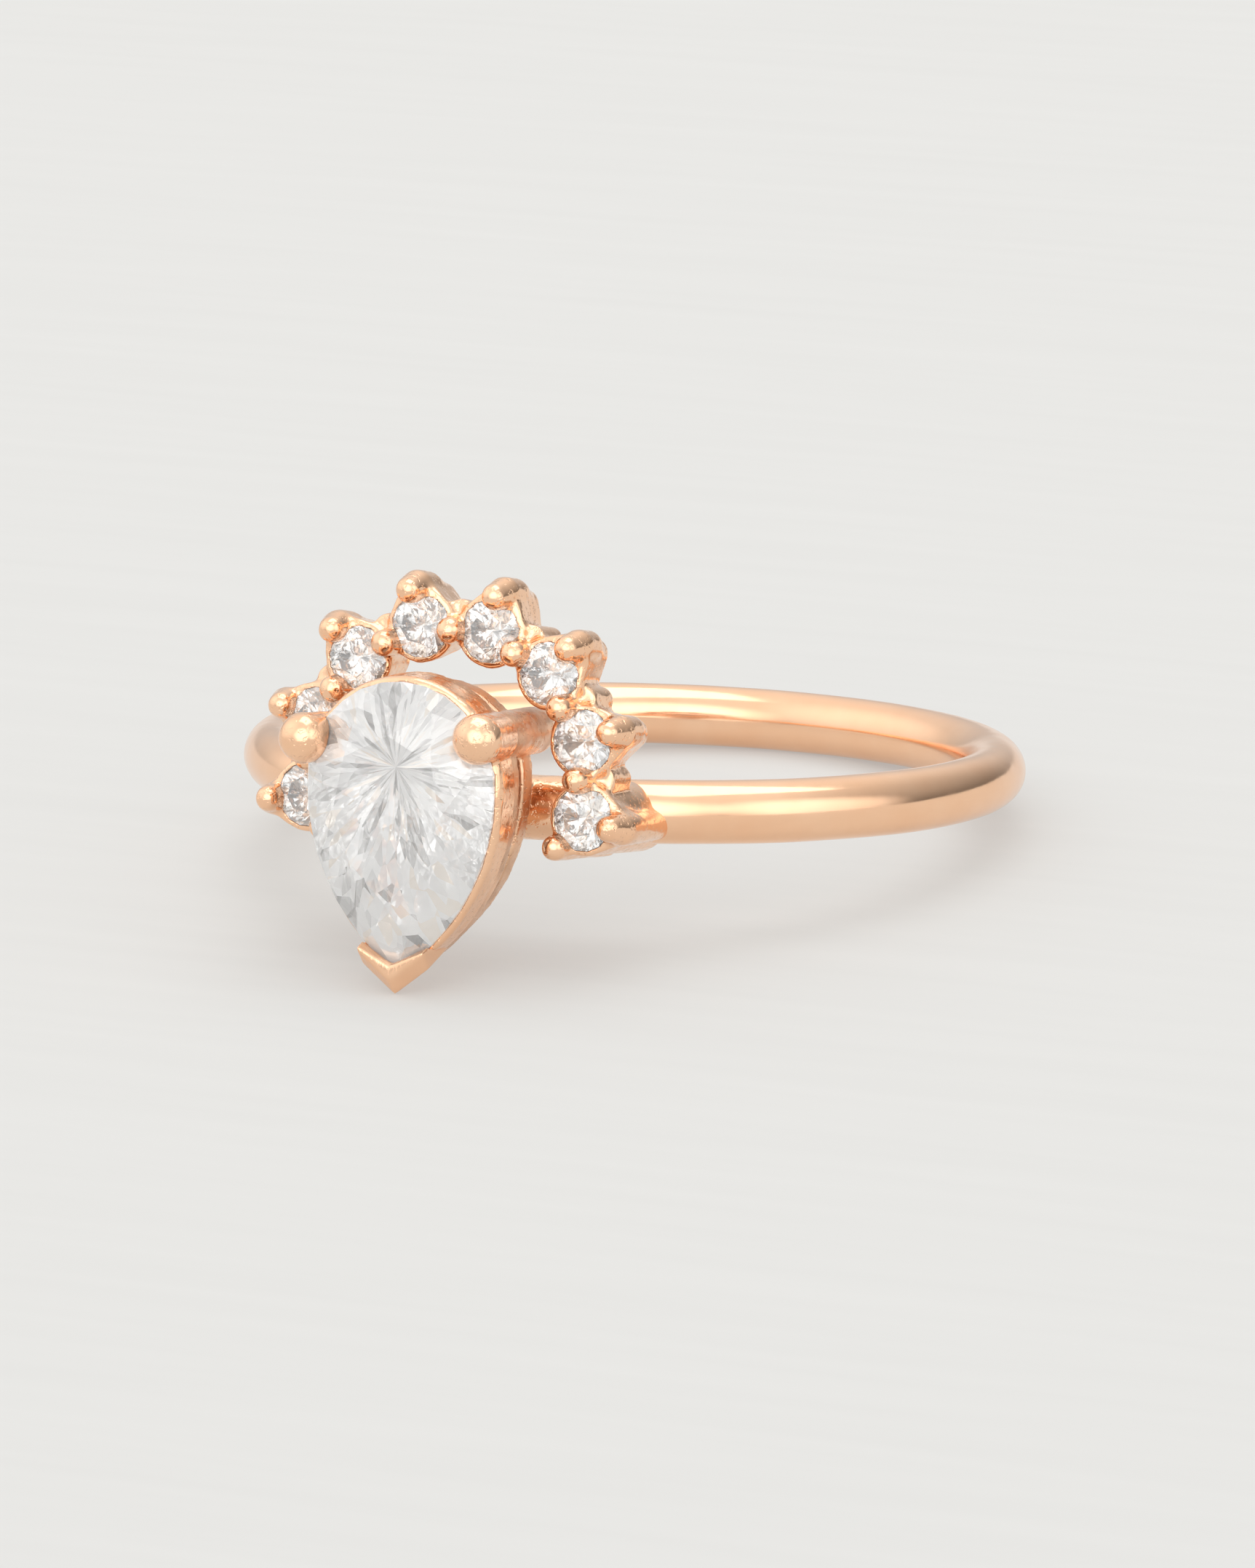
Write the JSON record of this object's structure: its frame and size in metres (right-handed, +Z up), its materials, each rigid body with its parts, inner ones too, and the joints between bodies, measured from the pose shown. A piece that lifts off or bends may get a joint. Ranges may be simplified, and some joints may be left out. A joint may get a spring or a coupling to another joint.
{
  "type": "engagement ring",
  "caption": "Finger ring with a plain round wire band, a pear diamond in a claw basket and an arch of small round diamonds set behind it.",
  "frame": {"origin": "centre of the finger hole, in the middle of the wire", "axes": "+Z up as the ring lies on its side, -Y from the finger towards the stones, +X to the right of someone who faces the stones"},
  "size_m": [0.0202, 0.0246, 0.0095],
  "materials": {
    "band_gold": "polished rose gold wire",
    "claw_gold": "polished rose gold claws",
    "filed_gold": "filed and polished rose gold",
    "basket_gold": "cast rose gold, part polished",
    "collet_gold": "cast rose gold, polished outside",
    "pear_diamond": "facetted colourless diamond",
    "small_diamonds": "facetted colourless diamond"
  },
  "bodies": {
    "root": {"band": "band_gold", "pear_diamond": "pear_diamond", "left_shoulder_claw": "claw_gold", "right_shoulder_claw": "claw_gold", "v_claw": "filed_gold", "upper_gallery_rail": "basket_gold", "middle_gallery_rail": "basket_gold", "head_base": "basket_gold", "small_diamond_1": "small_diamonds", "small_diamond_2": "small_diamonds", "small_diamond_3": "small_diamonds", "small_diamond_4": "small_diamonds", "small_diamond_5": "small_diamonds", "small_diamond_6": "small_diamonds", "small_diamond_7": "small_diamonds", "small_diamond_8": "small_diamonds", "collet_1": "collet_gold", "collet_2": "collet_gold", "collet_3": "collet_gold", "collet_4": "collet_gold", "collet_5": "collet_gold", "collet_6": "collet_gold", "collet_7": "collet_gold", "collet_8": "collet_gold", "outer_claw_1": "claw_gold", "outer_claw_2": "claw_gold", "outer_claw_3": "claw_gold", "outer_claw_4": "claw_gold", "outer_claw_5": "claw_gold", "outer_claw_6": "claw_gold", "outer_claw_7": "claw_gold", "outer_claw_8": "claw_gold", "shared_claw_1_2": "claw_gold", "shared_claw_2_3": "claw_gold", "shared_claw_3_4": "claw_gold", "shared_claw_4_5": "claw_gold", "shared_claw_5_6": "claw_gold", "shared_claw_6_7": "claw_gold", "shared_claw_7_8": "claw_gold", "end_claw_1": "claw_gold", "end_claw_8": "claw_gold"}
  },
  "joints": []
}
